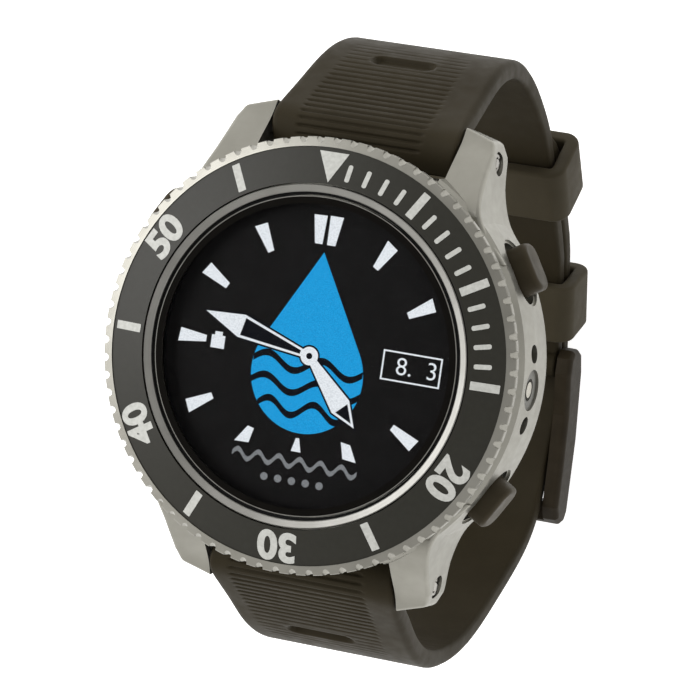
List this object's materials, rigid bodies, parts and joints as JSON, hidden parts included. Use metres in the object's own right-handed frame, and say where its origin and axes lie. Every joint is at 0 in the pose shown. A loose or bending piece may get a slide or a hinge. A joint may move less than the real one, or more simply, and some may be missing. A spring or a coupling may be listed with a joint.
{
  "type": "dive computer",
  "caption": "Wrist dive computer with a knurled turning bezel over a round lit display, side pushers, and a closed rubber strap with keepers and a pin buckle.",
  "frame": {"origin": "centre of the case back's flat outer face", "axes": "+Z out through the dial, +Y towards 12 o'clock and its strap half, +X towards 3 o'clock"},
  "size_m": [0.0473, 0.0696, 0.0689],
  "materials": {
    "case_steel": "bead-blasted stainless steel",
    "back_steel": "turned stainless steel",
    "bezel_steel": "brushed stainless steel",
    "insert_black": "satin black with pale markings",
    "ring_steel": "polished steel",
    "crystal_glass": "clear flat glass",
    "seal_rubber": "black rubber",
    "display": "lit colour display",
    "module_plastic": "black moulded plastic",
    "board_green": "solder-masked circuit board",
    "cell_foil": "foil pouch",
    "sensor_metal": "steel sensor can",
    "contact_gold": "plated contact",
    "insulator_black": "dark insulating plastic",
    "pusher_black": "black moulded pusher",
    "spring_steel": "spring steel",
    "strap_rubber": "dark textured rubber",
    "buckle_black": "black coated steel"
  },
  "bodies": {
    "case": {"case_body": "case_steel", "case_back": "back_steel", "case_back_gasket": "seal_rubber", "case_back_screws": "back_steel", "bezel_click_spring": "spring_steel", "bezel_retaining_wire": "spring_steel", "crystal_ring": "ring_steel", "crystal": "crystal_glass", "crystal_gasket": "seal_rubber", "display_panel": "display", "module_frame": "module_plastic", "main_board": "board_green", "battery": "cell_foil", "pressure_sensor": "sensor_metal", "charge_contact_pin": "contact_gold", "charge_contact_insulator": "insulator_black", "button_seals": "seal_rubber", "button_springs": "spring_steel", "spring_bar_12h": "spring_steel", "spring_bar_6h": "spring_steel", "strap_buckle_half": "strap_rubber", "strap_tail_half": "strap_rubber", "buckle_pin": "spring_steel"},
    "bezel": {"bezel_ring": "bezel_steel", "bezel_insert": "insert_black"},
    "pusher_2h": {"button_2h": "pusher_black", "button_clip_2h": "spring_steel"},
    "pusher_10h": {"button_10h": "pusher_black", "button_clip_10h": "spring_steel"},
    "pusher_8h": {"button_8h": "pusher_black", "button_clip_8h": "spring_steel"},
    "pusher_4h": {"button_4h": "pusher_black", "button_clip_4h": "spring_steel"},
    "upper_keeper": {"keeper_upper": "strap_rubber"},
    "lower_keeper": {"keeper_lower": "strap_rubber"},
    "buckle": {"buckle_frame": "buckle_black"},
    "tongue": {"buckle_tongue": "buckle_black"}
  },
  "joints": [
    {"name": "bezel_turn", "type": "hinge", "parent": "case", "child": "bezel", "pos_m": [0, 0, 0.0131], "axis": [0, 0, 1], "continuous": true},
    {"name": "button_2h_press", "type": "slide", "parent": "case", "child": "pusher_2h", "axis": [-0.8554, -0.518, 0], "range_m": [0, 0.0008], "stiffness_N_per_m": 1500, "springref_m": -0.0006, "deforming": ["button_springs"]},
    {"name": "button_10h_press", "type": "slide", "parent": "case", "child": "pusher_10h", "axis": [0.8554, -0.518, 0], "range_m": [0, 0.0008], "stiffness_N_per_m": 1500, "springref_m": -0.0006, "deforming": ["button_springs"]},
    {"name": "button_8h_press", "type": "slide", "parent": "case", "child": "pusher_8h", "axis": [0.8625, 0.506, 0], "range_m": [0, 0.0008], "stiffness_N_per_m": 1500, "springref_m": -0.0006, "deforming": ["button_springs"]},
    {"name": "button_4h_press", "type": "slide", "parent": "case", "child": "pusher_4h", "axis": [-0.8517, 0.524, 0], "range_m": [0, 0.0008], "stiffness_N_per_m": 1500, "springref_m": -0.0006, "deforming": ["button_springs"]},
    {"name": "keeper_upper_slide", "type": "slide", "parent": "case", "child": "upper_keeper", "axis": [0, -0.7526, -0.6585], "range_m": [-0.001, 0.003]},
    {"name": "keeper_lower_slide", "type": "slide", "parent": "case", "child": "lower_keeper", "axis": [0, -0.9228, -0.3852], "range_m": [-0.0008, 0.0004]},
    {"name": "buckle_swing", "type": "hinge", "parent": "case", "child": "buckle", "pos_m": [0, -0.0009, -0.0476], "axis": [1, 0, 0], "range_deg": [0, 6]},
    {"name": "tongue_swing", "type": "hinge", "parent": "buckle", "child": "tongue", "pos_m": [0, -0.0009, -0.0476], "axis": [1, 0, 0], "range_deg": [0, 5]}
  ]
}
